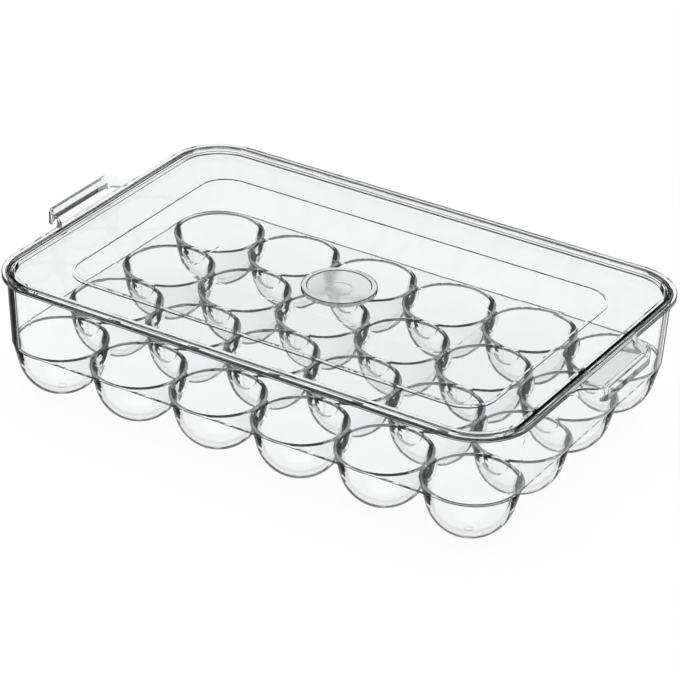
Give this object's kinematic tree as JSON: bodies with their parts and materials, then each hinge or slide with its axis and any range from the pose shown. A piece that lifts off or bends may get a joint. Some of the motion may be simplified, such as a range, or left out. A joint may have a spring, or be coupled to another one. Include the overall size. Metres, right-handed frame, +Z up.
{
  "type": "egg storage box",
  "caption": "Clear plastic egg storage box: a tray of joined round cups with tall walls, a handle lip at each end, and a drop-in lid with a round knob.",
  "frame": {"origin": "on the table under the middle of the tray, level with the bottoms of the feet", "axes": "+X along the length, through the handles; +Y across the box, away from the picture's camera; +Z up"},
  "size_m": [0.341, 0.2118, 0.0748],
  "materials": {
    "clear_tray": "clear gloss",
    "clear_lid": "clear gloss",
    "clear_knob": "clear gloss"
  },
  "bodies": {
    "tray": {"tray": "clear_tray"},
    "lid": {"lid": "clear_lid", "knob": "clear_knob"}
  },
  "joints": [
    {"name": "lid_lift", "type": "slide", "parent": "tray", "child": "lid", "axis": [0, 0, 1], "range_m": [0, 0.1]}
  ]
}
